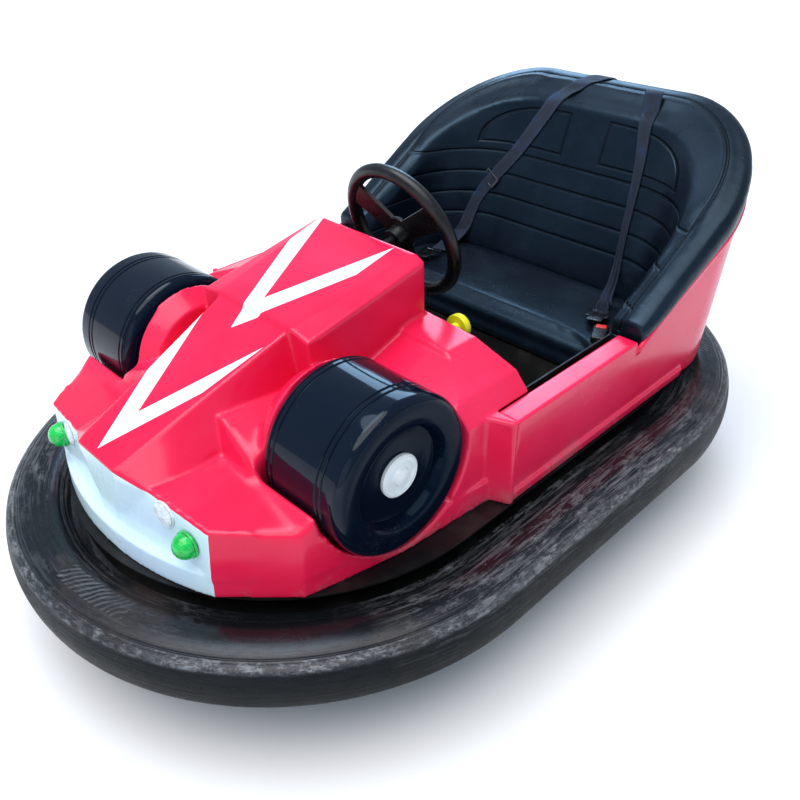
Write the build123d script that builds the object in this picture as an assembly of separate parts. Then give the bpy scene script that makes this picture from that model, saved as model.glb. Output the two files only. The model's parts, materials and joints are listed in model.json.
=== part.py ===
from build123d import *
from math import cos, radians, sin, tan
import os

os.makedirs("parts", exist_ok=True)

# Two-seat fairground bumper car. Millimetres, X forward, Y to the car's left, Z up from the floor.

# ---- bumper ring ----
ring_length = 1950.0          # over the tyre, nose to tail
ring_width = 1308.0           # over the tyre, side to side
ring_low = 145.0              # underside of the tyre
ring_high = 285.0             # top of the tyre's shoulder
tyre_depth = 155.0            # tread to bead, in plan
tyre_wall = 14.0
tread_low = 179.0
tread_high = 264.0
rim_wall = 4.0
rim_low = 185.0
rim_high = 245.0
rim_depth = 34.0

# ---- steel chassis ----
tube = 40.0                   # square tube of the frame
tube_wall = 3.0
frame_low = 170.0
rail_y = 262.0                # centre of each long rail
cross_x = (640.0, 170.0, -270.0, -640.0)
jack_pad = 76.0               # square pads under the frame where a jack goes
floor_sheet = 3.0
floor_cut = 205.0             # clear radius over the drive unit
ring_plate = 4.0              # angle ring that the body is bolted on

# ---- moulded body ----
body_low = 300.0              # lower edge of the moulding
body_wall = 5.0
nose_x = 810.0                # front of the body at its lower edge
fascia_x = 750.0              # where the white fascia ends, at each side
fascia_y = 283.0
side_x = 636.0                # corner between the front facet and the side
side_y = 402.0
waist_y = 446.0               # side of the front body beside the mock wheels
deck_mid = 476.0              # height of the front deck beside the nose
deck_edge = 440.0             # height of the front deck at its outer edge
shelf_high = 492.0
shelf_x = 590.0
lip_high = 352.0              # ledge along the front, below the lamps
brow_x = 762.0                # lamp recess, beside the nose
brow_y = 138.0
beak_low_y = 20.0             # half width of the beak at the ledge
nose_foot_y = 130.0
shelf_inner = 540.0           # shelf between nose and mock wheel, at the nose and at the wheel
apron_high = 484.0            # level part of the deck in front of the mock wheel
boss_y = 182.0                # tapered boss that carries each mock wheel
boss_low = 118.0
boss_high = 155.0
split_x = 171.0               # joint between front body and rear tub
block_x = 210.0               # block at each end of the joint: its slanted face widens the body to the sills
block_face_x = 184.0
block_y = 508.0
block_high = 505.0
foot_y = 468.0                # half width of the lower edge beside the block, and below the mock wheel
foot_y_wheel = 449.0
cowl_x = 70.0                 # rear edge of the cowl
sill_high = 500.0
sill_width = 54.0
lip_out = 7.0                 # bead on the tub's edge, under the padded rim
lip_drop = 16.0
skirt_high = 326.0            # thickened lower edge of the tub's sides
skirt_out = 7.0
skirt_tail = -490.0
tub_y = 498.0
tub_y_top = 525.0
tub_tail = -775.0             # tail at the lower edge
tub_tail_top = -905.0         # tail at the height of the upper outline
tub_corner = 250.0
tub_corner_top = 320.0
tub_top = 900.0               # height at which the upper outline is set
pad_front = -250.0            # where the padded rim starts
rim_start = 486.0             # height of the tub's edge under the pad, at its start
rim_mid_x = -600.0
rim_mid = 655.0
rim_tail = 775.0
crown_start = 540.0           # height of the pad's crown, at its start and at the tail
crown_tail = 905.0
front_lean = 5.5              # degrees that the front body's walls lean in

# ---- nose ----
nose_tip_x = 789.0
nose_tip_y = 66.0
nose_tip_z = 498.0
nose_knee_x = 405.0
nose_knee_y = 118.0
nose_knee_z = 655.0
nose_tail_x = 84.0
nose_tail_y = 150.0
nose_tail_z = 716.0
nose_shoulder_y = 176.0       # widest part of the rear nose
nose_shoulder_drop = 12.0

# ---- mock wheels ----
mock_x = 424.0
mock_z = 481.0
mock_radius = 163.0
mock_inner_y = 236.0
mock_outer_y = 454.0
mock_gap = 6.0
mock_grooves = (-86.0, -73.0, 48.0, 61.0)    # along the axle, from the wheel's middle
groove_deep = 3.0
dish_radius = 104.0
dish_deep = 26.0
hub_cap_radius = 44.0

# ---- seat ----
seat_front = -265.0
seat_back = -600.0
seat_high = 410.0
cushion_thick = 80.0
seat_half = 404.0             # inside half width at the seat
backrest_lean = 21.8          # degrees from upright
backrest_spread = 0.043       # how fast the inside widens with height
backrest_corner = 190.0       # inside corner at the seat
backrest_corner_top = 270.0
soft_gap = 3.0
pad_width = 88.0
pad_out = 8.0                 # how far the pad stands out past the tub
pad_round = 32.0
belt_width = 48.0
belt_thick = 2.4

# ---- steering ----
wheel_centre_x = -25.0
wheel_centre_z = 687.0
wheel_tilt = 16.2             # degrees that the column falls towards the front
wheel_radius = 171.0
grip_radius = 16.0
hub_radius = 40.0
spoke_angles = (58.0, -58.0, 180.0)      # from straight up
spoke_inner = 44.0
spoke_outer = 62.0
spoke_thick = 9.0
column_radius = 11.0
bore_gap = 0.05

# ---- running gear ----
kingpin_x = 400.0
kingpin_radius = 14.0
drive_radius = 105.0
drive_width = 62.0
rear_radius = 100.0
rear_width = 50.0
rear_x = -450.0
rear_y = 330.0
axle_radius = 12.5
turntable_radius = 112.0
turntable_high = 262.0
plate = 8.0

ring_end_x = (ring_length - ring_width) / 2          # centre of each round end of the ring
ring_radius = ring_width / 2
bead_radius = ring_radius - tyre_depth
frame_high = frame_low + tube
floor_high = frame_high + floor_sheet
column_axis = Vector(cos(radians(wheel_tilt)), 0, -sin(radians(wheel_tilt)))
wheel_centre = Vector(wheel_centre_x, 0, wheel_centre_z)


def column_point(distance):
    """Point on the steering column's axis, measured forwards from the wheel's centre."""
    return wheel_centre + column_axis * distance


gearbox_reach = (kingpin_x - wheel_centre_x) / cos(radians(wheel_tilt))
gearbox_centre = column_point(gearbox_reach)


def box(x0, x1, y0, y1, z0, z1):
    centre = ((x0 + x1) / 2, (y0 + y1) / 2, (z0 + z1) / 2)
    return Pos(*centre) * Box(abs(x1 - x0), abs(y1 - y0), abs(z1 - z0))


def polygon(points, plane):
    """Flat face through points given in the plane's own coordinates."""
    return plane * make_face(Polyline(*points, close=True))


def slab_x(points, x0, x1):
    """Prism along X from a Y-Z outline."""
    return extrude(polygon(points, Plane.YZ.offset(x0)), amount=x1 - x0)


def slab_y(points, y0, y1):
    """Prism along Y from an X-Z outline."""
    return extrude(polygon(points, Plane.XZ.offset(-y0)), amount=-(y1 - y0))


def mirrored(shape):
    return mirror(shape, about=Plane.XZ)


def stadium(radius):
    """Plan of the ring with the given end radius."""
    ends = Pos(ring_end_x, 0) * Circle(radius) + Pos(-ring_end_x, 0) * Circle(radius)
    return ends + Rectangle(2 * ring_end_x, 2 * radius)


def ring_plate_solid(outer, inner, z0, z1):
    return extrude(Pos(0, 0, z0) * (stadium(outer) - stadium(inner)), amount=z1 - z0)


def ring_solid(section):
    """Carry a section, drawn in X-Z with X as radius, round the whole ring."""
    turned = Rot(0, 0, -90) * section
    front = Pos(ring_end_x, 0, 0) * revolve(turned, Axis.Z, revolution_arc=180)
    side = Pos(-ring_end_x, 0, 0) * extrude(turned, amount=2 * ring_end_x, dir=(1, 0, 0))
    return front + mirror(front, about=Plane.YZ) + side + mirrored(side)


def tyre_section(inset):
    """Outline of the bumper tyre; the inset gives the face inside its wall."""
    out = ring_radius - inset
    bead = bead_radius - (1 if inset else 0)
    low, high = ring_low + inset, ring_high - inset
    bead_low, bead_high = rim_low - 20 + inset, rim_high + 8 - inset
    crown = (tread_low + tread_high) / 2
    shoulder, tuck = 15.0, 7.0
    top = Polyline((bead, bead_high), (bead + 18, bead_high))
    upper = ThreePointArc((bead + 18, bead_high), (out - 84, high), (out - shoulder, tread_high + tuck))
    high_edge = Line((out - shoulder, tread_high + tuck), (out - tuck, tread_high))
    face = ThreePointArc((out - tuck, tread_high), (out, crown), (out - tuck, tread_low))
    low_edge = Line((out - tuck, tread_low), (out - shoulder, tread_low - tuck))
    lower = ThreePointArc((out - shoulder, tread_low - tuck), (out - 84, low), (bead + 18, bead_low))
    base = Polyline((bead + 18, bead_low), (bead, bead_low), (bead, bead_high))
    return Plane.XZ * make_face([top, upper, high_edge, face, low_edge, lower, base])


def bumper_tyre():
    return ring_solid(tyre_section(0) - tyre_section(tyre_wall))


def bumper_rim():
    """Steel channel that opens outwards and carries the tyre's beads."""
    out, back = bead_radius - 0.2, bead_radius - rim_depth
    band = ring_plate_solid(back + rim_wall, back, rim_low, rim_high)
    for z in (rim_low, rim_high - rim_wall):
        band += ring_plate_solid(out, back, z, z + rim_wall)
    return band


def chassis_frame():
    """Ladder of square tube, closed round its edge by a flat hoop inside the rim channel."""
    edge = bead_radius - rim_depth
    hoop = ring_plate_solid(edge, edge - 6, frame_low, frame_high)
    inside = extrude(Pos(0, 0, frame_low - 6) * stadium(edge - 3), amount=tube + 6)
    members = None
    for x in cross_x:
        bar = box(x - tube / 2, x + tube / 2, -edge, edge, frame_low, frame_high)
        members = bar if members is None else members + bar
    for x in (cross_x[1], cross_x[3]):
        members += box(x - jack_pad / 2, x + jack_pad / 2, -jack_pad / 2, jack_pad / 2, frame_low - 6, frame_low)
    for side in (1, -1):
        y = side * rail_y
        members += box(-ring_length / 2, ring_length / 2, y - tube / 2, y + tube / 2, frame_low, frame_high)
    return hoop + (members & inside)


def body_ring():
    """Angle ring standing on the hoop: the body's lower edge is bolted along its flange."""
    edge = bead_radius - rim_depth
    web = ring_plate_solid(edge - 6.5, edge - 6.5 - ring_plate, floor_high, body_low - 0.5)
    flange = ring_plate_solid(bead_radius + 8, edge - 10, body_low - 0.5 - ring_plate, body_low - 0.5)
    return web + flange


def floor_pan():
    edge = bead_radius - rim_depth
    sheet = extrude(Pos(0, 0, frame_high) * stadium(edge), amount=floor_sheet)
    return sheet - Pos(kingpin_x, 0, frame_high) * Cylinder(floor_cut, 20)


def toe_board():
    """Upright sheet that closes the footwell in front, below the dash."""
    return box(split_x + 4, split_x + 4 + floor_sheet, -400, 400, floor_high + 0.2, 470)


def front_plan():
    """Half-symmetric outline of the front body at its lower edge."""
    left = [(fascia_x, fascia_y), (side_x, side_y), (566, side_y + 17), (mock_x, foot_y_wheel),
            (split_x, foot_y)]
    right = [(x, -y) for x, y in reversed(left)]
    nose = ThreePointArc(right[-1], (nose_x, 0), left[0])
    return make_face([Polyline(*right), nose, Polyline(*left), Line(left[-1], right[0])])


def brow_outline(z, inset):
    """Outline above the ledge: beak, lamp recesses and sides, spreading from the ledge to the deck."""
    share = (z - lip_high) / (deck_mid - lip_high)
    foot = ((nose_tip_x, beak_low_y), (nose_tip_x - 4, beak_low_y + 10), (fascia_x, fascia_y))
    head = ((nose_tip_x, nose_tip_y), (brow_x, brow_y), (fascia_x - 8, fascia_y + 9))
    left = [(xa + (xb - xa) * share - inset, ya + (yb - ya) * share - inset / 2)
            for (xa, ya), (xb, yb) in zip(foot, head)]
    lean = (z - body_low) * tan(radians(front_lean))
    left += [(side_x - 0.7 * (inset + lean), side_y - inset), (566, side_y + 17 - inset),
             (433, waist_y - 4 - inset), (split_x, waist_y - inset)]
    return polygon(left + [(x, -y) for x, y in reversed(left)], Plane.XY.offset(z))


def nose_section(x, y_top, z_top, y_low, z_low, inset, base):
    half = y_low - inset
    outline = [(-half, base), (-half, z_low), (-y_top + inset / 2, z_top - inset),
               (y_top - inset / 2, z_top - inset), (half, z_low), (half, base)]
    return polygon(outline, Plane.YZ.offset(x))


def nose_form(inset, base):
    """Beak, then the narrow nose up to the knee, then the wide one back to the dash."""
    rise = (nose_knee_z - nose_tip_z) / (nose_tip_x - nose_knee_x)
    brow_z = nose_tip_z + (nose_tip_x - brow_x) * rise
    low = nose_shoulder_drop
    sections = (  # x, half width and height of the top edge, half width and height of the shoulder
        (nose_tip_x - inset, nose_tip_y, nose_tip_z, nose_tip_y + 2, nose_tip_z - 6 - inset),
        (brow_x - inset, nose_tip_y + 4, brow_z, brow_y, deck_mid - 4 - inset),
        (nose_knee_x - 20, nose_knee_y, nose_knee_z, 142, 505),
    )
    tip, brow, knee = (nose_section(*row, inset, base) for row in sections)
    wide = (
        (nose_knee_x - inset, nose_knee_y, nose_knee_z, nose_shoulder_y, nose_knee_z - low - inset),
        (nose_tail_x, nose_tail_y, nose_tail_z, nose_shoulder_y, nose_tail_z - low - inset),
    )
    front, back = (nose_section(*row, inset, base) for row in wide)
    above = box(brow_x - 60, 900, -300, 300, deck_mid - 2 - inset, 900)
    beak = loft([tip, brow], ruled=True) & above
    return beak + loft([brow, knee], ruled=True) + loft([front, back], ruled=True)


def cowl_form(inset, base):
    """Hump over the riders' feet: flat top, small step, then a slope down to the mock wheels."""
    half = ((456, 500), (420, 541), (309, 574), (183, 582))          # half width, height
    left = [(-half[0][0] + inset, base)] + [(-y + inset, z - inset) for y, z in half]
    right = [(-y, z) for y, z in reversed(left)]
    hump = slab_x(left + right, cowl_x, 300 - inset)
    side = [(cowl_x - 10, 200), (cowl_x - 10, 592 - inset), (160, 577 - inset), (168, 567 - inset),
            (262, 536 - inset), (300, 470 - inset), (300, 200)]
    return hump & slab_y(side, -500, 500)


def front_form(inset):
    """Solid bounded by the front body's skin; the inset gives the face inside its wall."""
    base = body_low if inset == 0 else body_low - 10
    low_plan = front_plan() if inset == 0 else offset(front_plan(), -inset)
    lip = extrude(Pos(0, 0, base) * low_plan, amount=lip_high - inset - base, taper=front_lean / 2)
    upper = loft([brow_outline(lip_high - 12, inset), brow_outline(deck_mid + 30, inset)], ruled=True)
    half = side_y + 60
    deck = slab_x([(-half, 200), (-half, deck_edge - inset), (-brow_y, deck_mid - inset),
                   (brow_y, deck_mid - inset), (half, deck_edge - inset), (half, 200)], 0, 900)
    shelf = slab_x([(-240, base), (-240, shelf_high - inset), (-nose_foot_y, shelf_inner - inset),
                    (nose_foot_y, shelf_inner - inset), (240, shelf_high - inset), (240, base)], 200, 700)
    shelf &= slab_y([(0, base), (0, 600), (shelf_x - 20 - inset, 600), (shelf_x + 14 - inset, shelf_high - 4),
                     (shelf_x + 14 - inset, base)], -600, 600)
    apron = slab_y([(0, 200), (0, apron_high - inset), (shelf_x, apron_high - 8 - inset),
                    (shelf_x + 36 - inset, deck_edge + 8 - inset), (shelf_x + 36 - inset, 200)], -600, 600)
    face_in = inset * 0.5
    body = (upper & deck) + (upper & apron) + lip + shelf + nose_form(inset, base) + cowl_form(inset, base)
    boss_length = mock_inner_y - boss_y
    for side in (1, -1):
        boss = Cone(boss_high - inset, boss_low - inset, boss_length, align=(Align.CENTER, Align.CENTER, Align.MAX))
        body += Pos(mock_x, side * (boss_y + inset), mock_z) * Rot(side * 90, 0, 0) * boss
        block = [(split_x + inset, side * (waist_y - 10)), (block_x - inset, side * (waist_y - 10)),
                 (block_x - inset, side * (waist_y - face_in)), (block_face_x - inset, side * (block_y - inset)),
                 (split_x + inset, side * (block_y - inset))]
        body += extrude(polygon(block, Plane.XY.offset(base)), amount=block_high - inset - base)
    for side in (1, -1):
        well = mock_radius + mock_gap + inset
        cut = Pos(mock_x, side * (mock_inner_y - 6 - inset + 200), mock_z) * Rot(90, 0, 0) * Cylinder(well, 400)
        body -= cut
    clear = box(cowl_x - 60, split_x, -600, 600, base - 100, sill_high)
    return body - clear


def front_shell():
    return front_form(0) - front_form(body_wall)


def fascia_zone():
    """Everything within one wall of the forward faces, between the fascia's two ends."""
    form, end, skin = front_form(0), fascia_y + 8, 2.2 * body_wall
    rise = 1.1 * skin * (nose_knee_z - nose_tip_z) / (nose_tip_x - nose_knee_x)
    left = [(nose_tip_x - 2 * skin, nose_tip_y), (brow_x - 2 * skin, brow_y), (fascia_x - 2.4 * skin, end), (900, end)]
    plan = make_face(Polyline(*left, *[(x, -y) for x, y in reversed(left)], close=True))
    front = extrude(Pos(0, 0, body_low) * plan, amount=300)
    faces = (form - Pos(-skin, 0, rise) * form) & front
    return faces + (form & front & box(0, 900, -600, 600, 0, lip_high + rise + 0.5))


def front_body():
    return front_shell() - fascia_zone()


def front_fascia():
    return front_shell() & fascia_zone()


def tub_form(inset, low=body_low, high=tub_top, front_extra=0.0):
    """Flared tub from its lower outline to its upper one."""
    def outline(z):
        share = (z - body_low) / (tub_top - body_low)
        tail = tub_tail + (tub_tail_top - tub_tail) * share
        half = tub_y + (tub_y_top - tub_y) * share
        corner = tub_corner + (tub_corner_top - tub_corner) * share
        length = split_x + front_extra - tail - inset
        sketch = Pos(tail + inset + length / 2, 0) * Rectangle(length, 2 * (half - inset))
        return Pos(0, 0, z) * fillet(sketch.vertices().group_by(Axis.X)[0], corner - inset)
    return loft([outline(low), outline(high)], ruled=True)


def tub_band(outer, inner):
    """Wall between two insets of the tub, open above and below."""
    return tub_form(outer, body_low, tub_top + 60) - tub_form(inner, body_low - 10, tub_top + 70, 20)


def under_rim(drop=0.0):
    """Everything below the tub's edge: level along the sills, then rising in an arc to the tail."""
    far, base = -1000.0, 100.0
    a, b, c = (pad_front, rim_start - drop), (rim_mid_x, rim_mid - drop), (tub_tail_top, rim_tail - drop)
    edge = ThreePointArc(a, b, c)
    rest = Polyline(c, (far, c[1]), (far, base), (split_x + 50, base), (split_x + 50, sill_high - drop),
                    (pad_front, sill_high - drop), a)
    return extrude(Plane.XZ.offset(-600) * make_face([edge, rest]), amount=1200)


def under_crown():
    """Everything below the straight line of the pad's crown, behind the pad's front end."""
    slope = (crown_tail - crown_start) / (pad_front - tub_tail_top)
    far = -1000.0
    return slab_y([(pad_front, 100), (pad_front, crown_start),
                   (far, crown_start + (pad_front - far) * slope), (far, 100)], -600, 600)


def rear_tub():
    """Thin flared wall with a folded sill along each side and a thicker skirt at its foot."""
    shell = tub_band(0, body_wall) & under_rim()
    lip = (tub_band(-lip_out, 0) & under_rim() & box(-1000, pad_front, -600, 600, 0, 1000)) - under_rim(lip_drop)
    sill = tub_band(body_wall, sill_width) & box(pad_front, split_x, -600, 600, sill_high - body_wall, sill_high)
    hem = tub_band(sill_width - body_wall, sill_width) & box(
        pad_front, split_x, -600, 600, sill_high - 30, sill_high)
    skirt = tub_band(-skirt_out, 0) & box(skirt_tail, split_x, -600, 600, body_low, skirt_high)
    return shell + lip + sill + hem + skirt


def rim_pad():
    """Padded roll on the tub's edge, rounded along its crown."""
    roll = (tub_band(-pad_out, pad_width - pad_out) & under_crown()) - under_rim(-soft_gap / 10)
    crown = max(roll.faces().filter_by(GeomType.PLANE), key=lambda face: face.area)
    return fillet([edge for edge in crown.edges() if edge.center().X < pad_front - 1], pad_round)


def side_liner():
    """Black panel inside the tub's side, from the floor to the sill."""
    y = tub_y - sill_width - 8
    return box(pad_front + 2, split_x - 4, y - 4, y, floor_high + 0.5, sill_high - body_wall - 0.5)


def backrest_face(shift):
    """X of the backrest's front at a height, moved back by shift."""
    lean = tan(radians(backrest_lean))
    return lambda z: seat_back - shift - (z - seat_high) * lean


def cabin(shrink):
    """Space inside the padding: leaning back, round corners, sides that spread upwards."""
    def outline(z):
        tail = backrest_face(-shrink)(z)
        half = seat_half + (z - seat_high) * backrest_spread - shrink
        corner = backrest_corner + (backrest_corner_top - backrest_corner) * (z - seat_high) / (tub_top - seat_high)
        length = 200 - tail
        sketch = Pos(tail + length / 2, 0) * Rectangle(length, 2 * half)
        return Pos(0, 0, z) * fillet(sketch.vertices().group_by(Axis.X)[0], corner - shrink)
    return loft([outline(280), outline(960)], ruled=True)


def backrest_pad():
    """One padded shell across the back and along both sides, up to the inside of the rim pad."""
    lower = tub_form(body_wall + soft_gap) & under_rim(soft_gap)
    upper = tub_form(pad_width - pad_out + soft_gap) & Pos(0, 0, -14) * under_crown()
    zone = box(-1000, pad_front - 6, -600, 600, seat_high - cushion_thick, 1000)
    return ((lower + upper) & zone) - cabin(0)


def seat_cushion():
    front = backrest_face(-soft_gap)
    low = seat_high - cushion_thick
    prism = slab_y([(seat_front, low), (seat_front, seat_high - 18), (seat_front - 18, seat_high),
                    (front(seat_high), seat_high), (front(low), low)], -seat_half, seat_half)
    return prism & cabin(soft_gap)


def seat_box():
    """Plywood box under the cushion, open below and behind, round the battery."""
    top = seat_high - cushion_thick - 0.5
    outer = box(seat_back - 40, seat_front - 14, -seat_half + 20, seat_half - 20, floor_high + 0.5, top)
    inner = box(seat_back - 60, seat_front - 26, -seat_half + 32, seat_half - 32, floor_high, top - 12)
    outer &= extrude(Pos(0, 0, 0) * stadium(bead_radius - rim_depth - 12), amount=900)
    return outer - inner


def battery():
    return box(-570, -330, -260, 260, floor_high + 0.2, floor_high + 100)


def mock_wheel():
    """Moulded dummy wheel: grooved drum with a dished outer face."""
    half = (mock_outer_y - mock_inner_y) / 2
    r = mock_radius
    tread = []
    for z in mock_grooves:
        tread += [(r, z - 3.5), (r - groove_deep, z - 1.5), (r - groove_deep, z + 1.5), (r, z + 3.5)]
    outline = Polyline((0, -half), (r - 34, -half), (r - 16, -half + 5), (r - 5, -half + 12), (r, -half + 20),
                       *tread, (r, half - 18), (r - 3, half - 8), (r - 9, half - 2), (r - 20, half),
                       (dish_radius + 5, half - 2), (dish_radius, half - 7), (dish_radius - 6, half - dish_deep),
                       (44, half - dish_deep + 5), (0, half - dish_deep + 5), close=True)
    drum = revolve(Plane.XZ * make_face(outline), Axis.Z)
    return Pos(mock_x, (mock_outer_y + mock_inner_y) / 2, mock_z) * Rot(-90, 0, 0) * drum


def hub_cap():
    """Plain round cap: a rim, a groove and a low boss."""
    outline = Polyline((0, 0), (hub_cap_radius, 0), (hub_cap_radius, 6), (hub_cap_radius - 4, 9),
                       (hub_cap_radius - 12, 9), (hub_cap_radius - 14, 6), (20, 6), (16, 13), (0, 15), close=True)
    cap = revolve(Plane.XZ * make_face(outline), Axis.Z)
    return Pos(mock_x, mock_outer_y - dish_deep + 5.2, mock_z) * Rot(-90, 0, 0) * cap


def lamp(x, y, z, aim, lift, radius):
    """Domed lens on a short round base, square to the fascia's face."""
    base = Cylinder(radius, 8, align=(Align.CENTER, Align.CENTER, Align.MIN))
    dome = Pos(0, 0, 8) * (Sphere(radius) & Pos(0, 0, radius) * Box(4 * radius, 4 * radius, 2 * radius))
    return Pos(x, y, z) * Rot(0, 0, aim) * Rot(0, 90 - lift, 0) * (base + dome)


def dash_panel():
    face = front_form(body_wall + 0.3) & box(cowl_x + 14, cowl_x + 18, -600, 600, 380, 800)
    hole = Cylinder(column_radius + 8, 400)
    tilt = Pos(*column_point(110)) * Rot(0, 90 + wheel_tilt, 0)
    return face - tilt * hole


def steering_wheel():
    """Round grip, flat hub plate and three spokes that widen towards the grip."""
    reach = wheel_radius - grip_radius
    plan = Circle(hub_radius)
    for angle in spoke_angles:
        half_in, half_out = spoke_inner / 2, spoke_outer / 2
        spoke = make_face(Polyline((0, -half_in), (reach, -half_out), (reach, half_out), (0, half_in), close=True))
        plan += Rot(0, 0, angle) * spoke
    plate_solid = extrude(Pos(0, 0, -spoke_thick) * plan, amount=spoke_thick)
    hub = Pos(0, 0, -spoke_thick) * Cylinder(24, 27, align=(Align.CENTER, Align.CENTER, Align.MAX))
    wheel = Torus(reach, grip_radius) + plate_solid + hub
    return Pos(*wheel_centre) * Rot(0, wheel_tilt - 90, 0) * wheel


def steering_shaft():
    reach = gearbox_reach - 12
    rod = Pos(0, 0, -reach) * Cylinder(column_radius, reach - 36, align=(Align.CENTER, Align.CENTER, Align.MIN))
    return Pos(*wheel_centre) * Rot(0, wheel_tilt - 90, 0) * rod


def steering_gearbox():
    """Closed angle gearbox: column shaft in at the back, kingpin out below."""
    shell = box(-38, 42, -34, 34, -52, 36)
    shell = chamfer(shell.edges().filter_by(Axis.Y), 10)
    shell = Pos(*gearbox_centre) * shell
    bore = Pos(*wheel_centre) * Rot(0, wheel_tilt - 90, 0) * Pos(0, 0, -gearbox_reach) * Cylinder(
        column_radius + bore_gap, 120, align=(Align.CENTER, Align.CENTER, Align.MIN))
    pin = Pos(gearbox_centre.X, 0, gearbox_centre.Z - 200) * Cylinder(
        kingpin_radius + bore_gap, 180, align=(Align.CENTER, Align.CENTER, Align.MIN))
    return shell - bore - pin


def steering_tower():
    """Bearing plate over the drive unit on two cross arms, and the post that lifts the gearbox."""
    low = turntable_high + plate + 0.4
    top = gearbox_centre.Z - 52 - 0.3
    disc = Pos(kingpin_x, 0, low) * Cylinder(turntable_radius + 10, plate, align=(Align.CENTER,) * 2 + (Align.MIN,))
    arm = box(kingpin_x - 30, kingpin_x + 30, -rail_y - 20, rail_y + 20, low, low + plate)
    tower = disc + arm
    for side in (1, -1):
        y = side * (rail_y)
        tower += box(kingpin_x - 30, kingpin_x + 30, y - 20, y + 20, floor_high + 0.3, low + plate)
        tower += box(kingpin_x - 30, kingpin_x + 30, side * 34, side * 42, low, gearbox_centre.Z)
    tower += box(kingpin_x - 30, kingpin_x + 30, -42, 42, top - plate, top)
    hole = Pos(kingpin_x, 0, 200) * Cylinder(kingpin_radius + 0.5, 800)
    return tower - hole


def drive_fork():
    """Turntable with kingpin above and two cheeks down to the drive wheel's axle."""
    fork = Pos(kingpin_x, 0, turntable_high) * Cylinder(turntable_radius, plate, align=(Align.CENTER,) * 2 + (Align.MIN,))
    stem_top = gearbox_centre.Z - 24
    fork += Pos(kingpin_x, 0, turntable_high) * Cylinder(
        kingpin_radius, stem_top - turntable_high, align=(Align.CENTER,) * 2 + (Align.MIN,))
    inner = drive_width / 2 + 6
    for side in (1, -1):
        cheek = box(kingpin_x - 36, kingpin_x + 36, side * inner, side * (inner + plate), 78, turntable_high + 1)
        fork += cheek
    fork -= Pos(kingpin_x, 0, drive_radius) * Rot(90, 0, 0) * Cylinder(axle_radius + bore_gap, 300)
    return fork


def drive_motor():
    y = drive_width / 2 + 6 + plate + 0.2
    can = Cylinder(52, 118, align=(Align.CENTER, Align.CENTER, Align.MIN))
    can = chamfer(can.edges().sort_by(Axis.Z)[-1], 6)
    return Pos(kingpin_x, y, drive_radius + 22) * Rot(-90, 0, 0) * can


def road_wheel(radius, width, axle_length):
    """Solid rubber tyre on its hub, with the axle in one piece."""
    half = width / 2
    outline = Polyline((0, -half), (radius * 0.62, -half), (radius - 6, -half + 2), (radius, -half + 9),
                       (radius, half - 9), (radius - 6, half - 2), (radius * 0.62, half), (0, half), close=True)
    tyre = revolve(Plane.XZ * make_face(outline), Axis.Z)
    if axle_length:
        tyre += Cylinder(axle_radius, axle_length)
    return Rot(90, 0, 0) * tyre


def drive_wheel():
    return Pos(kingpin_x, 0, drive_radius) * road_wheel(drive_radius, drive_width, drive_width + 26)


def rear_wheel():
    wheel = road_wheel(rear_radius, rear_width, 0)
    wheel -= Rot(90, 0, 0) * Cylinder(axle_radius + bore_gap, 200)
    return Pos(rear_x, rear_y, rear_radius) * wheel


def rear_axle():
    """Dead axle in two brackets that hang from the long rails."""
    reach = rear_y + rear_width / 2 + 12
    axle = Pos(rear_x, 0, rear_radius) * Rot(90, 0, 0) * Cylinder(axle_radius, 2 * reach)
    axle += Pos(rear_x, 0, rear_radius) * Rot(90, 0, 0) * Cylinder(20, 2 * (rear_y - rear_width / 2 - 1))
    for side in (1, -1):
        y = side * rail_y
        axle += box(rear_x - 25, rear_x + 25, y - 16, y + 16, rear_radius, frame_low - 0.2)
    return axle


def strap(points):
    """Flat webbing along straight runs; its width stays level."""
    runs = None
    for start, end in zip(points, points[1:]):
        start, end = Vector(*start), Vector(*end)
        along = (end - start).normalized()
        face = along.cross(Vector(0, 1, 0)).normalized()
        run = Plane((start + end) / 2, x_dir=along, z_dir=face) * Box((end - start).length + 2, belt_width, belt_thick)
        runs = run if runs is None else runs + run
    return runs


def belt_tongue(spot, turn):
    """Steel tongue on the belt's free end."""
    x, y, z = spot
    return Pos(x, y, z) * Rot(0, 0, turn) * (Box(46, 56, 4) + Pos(38, 0, 0) * Box(36, 24, 3))


def belt_buckle(side):
    """Housing on its short stalk, in the corner between cushion and side."""
    housing = Pos(-322, side * 362, seat_high + 22) * Rot(0, 0, side * 24) * Box(62, 40, 24)
    return fillet(housing.edges(), 4)


def accelerator_pedal():
    pad = Pos(split_x - 40, -150, floor_high + 52) * Rot(0, -35, 0) * Box(8, 70, 110)
    return pad + box(split_x - 60, split_x + 3.5, -165, -135, floor_high + 0.2, floor_high + 24)


def push_button():
    stem = Cylinder(12, 56, align=(Align.CENTER, Align.CENTER, Align.MIN))
    head = Pos(0, 0, 48) * Cylinder(29, 22, align=(Align.CENTER, Align.CENTER, Align.MIN))
    head = fillet(head.edges().sort_by(Axis.Z)[-1], 10)
    return Pos(cowl_x + 13.8, 222, 545) * Rot(0, -90, 0) * (stem + head)


def key_switch():
    barrel = Cylinder(12, 14, align=(Align.CENTER, Align.CENTER, Align.MIN))
    blade = Pos(0, 0, 26) * Box(3, 20, 26)
    return Pos(cowl_x + 13.8, -130, 540) * Rot(0, -90, 0) * (barrel + blade)


def write(name, solid):
    export_step(solid, f"parts/{name}.step")


lamps = (  # name, x, y, z, aim outwards and lift in degrees, radius
    ("headlamp", 760.2, 177, 444, 7.5, 3.5, 26),
    ("marker_lamp", 754.2, 238, 409, 7.5, 3.5, 26),
)

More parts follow.
